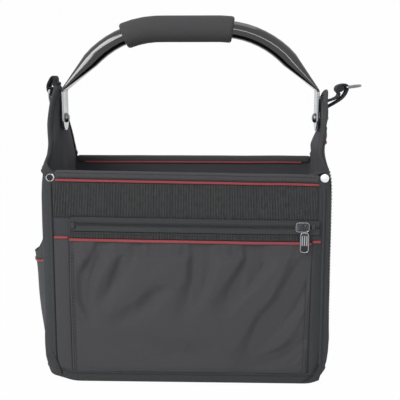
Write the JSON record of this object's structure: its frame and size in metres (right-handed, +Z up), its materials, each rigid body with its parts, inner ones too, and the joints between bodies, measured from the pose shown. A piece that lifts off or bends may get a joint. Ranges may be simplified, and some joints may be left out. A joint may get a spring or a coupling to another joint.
{
  "type": "open-top zippered tool bag",
  "caption": "Open-top tool bag with a zip pocket, ribbed webbing band, end pockets, and a folding steel tube handle with foam grip.",
  "frame": {"origin": "middle of the base's underside", "axes": "+Z up, +X to the right of the zip pocket, the zip pocket faces -Y"},
  "size_m": [0.4281, 0.2093, 0.456],
  "materials": {
    "body_canvas": "woven",
    "facing_canvas": "smooth woven",
    "ribbed_webbing": "ribbed",
    "binding_tape": "woven",
    "red_piping": "woven",
    "loop_webbing": "woven",
    "stiff_board": "matte",
    "zip_metal": "satin",
    "painted_tube": "gloss",
    "bright_steel": "polished",
    "foam_grip": "matte"
  },
  "bodies": {
    "shell": {"base_tray": "binding_tape", "base_board": "stiff_board", "front_panel": "body_canvas", "back_panel": "body_canvas", "gable_right": "body_canvas", "gable_left": "body_canvas", "edge_tape_right": "binding_tape", "edge_tape_left": "binding_tape", "seam_tape_front_right": "binding_tape", "seam_tape_front_left": "binding_tape", "seam_tape_back_right": "binding_tape", "seam_tape_back_left": "binding_tape", "rim_hem_front": "facing_canvas", "rim_hem_back": "facing_canvas", "rim_piping_front": "red_piping", "rim_piping_back": "red_piping", "ribbed_band": "ribbed_webbing", "zip_chain_upper": "binding_tape", "zip_chain_lower": "binding_tape", "zip_stop_left": "zip_metal", "zip_stop_right": "zip_metal", "zip_pocket": "facing_canvas", "pocket_strip": "ribbed_webbing", "pocket_piping": "red_piping", "side_facing_left": "facing_canvas", "side_facing_right": "facing_canvas", "side_piping_left": "red_piping", "side_piping_right": "red_piping", "end_pocket_left": "body_canvas", "end_pocket_band_left": "ribbed_webbing", "end_pocket_piping_left": "red_piping", "end_pocket_right": "body_canvas", "end_pocket_band_right": "ribbed_webbing", "end_pocket_piping_right": "red_piping", "rivet_left": "bright_steel", "rivet_right": "bright_steel", "handle_bolt_right": "bright_steel", "handle_bolt_left": "bright_steel", "handle_washer_right": "bright_steel", "handle_washer_left": "bright_steel", "handle_spacer_right": "bright_steel", "handle_spacer_left": "bright_steel", "handle_nut_right": "bright_steel", "handle_nut_left": "bright_steel", "ring_loop_right": "loop_webbing", "ring_loop_left": "loop_webbing"},
    "handle": {"handle_tube": "painted_tube", "handle_grip": "foam_grip"},
    "slider": {"zip_slider": "zip_metal"},
    "pull": {"zip_pull": "zip_metal"},
    "ring_right": {"d_ring_right": "bright_steel"},
    "ring_left": {"d_ring_left": "bright_steel"}
  },
  "joints": [
    {"name": "handle_pivot", "type": "hinge", "parent": "shell", "child": "handle", "pos_m": [0, 0, 0.325], "axis": [1, 0, 0], "range_deg": [-110, 110]},
    {"name": "zip_slide", "type": "slide", "parent": "shell", "child": "slider", "axis": [1, 0, 0], "range_m": [-0.2655, 0.003]},
    {"name": "pull_lift", "type": "hinge", "parent": "slider", "child": "pull", "pos_m": [0.1411, -0.1064, 0.2012], "axis": [-1, 0, 0], "range_deg": [0, 170]},
    {"name": "ring_right_swing", "type": "hinge", "parent": "shell", "child": "ring_right", "pos_m": [0.20045, 0, 0.36437], "axis": [0, 1, 0], "range_deg": [-60, 80]},
    {"name": "ring_left_swing", "type": "hinge", "parent": "shell", "child": "ring_left", "pos_m": [-0.18157, 0, 0.36152], "axis": [0, 1, 0], "range_deg": [-8, 110]}
  ]
}
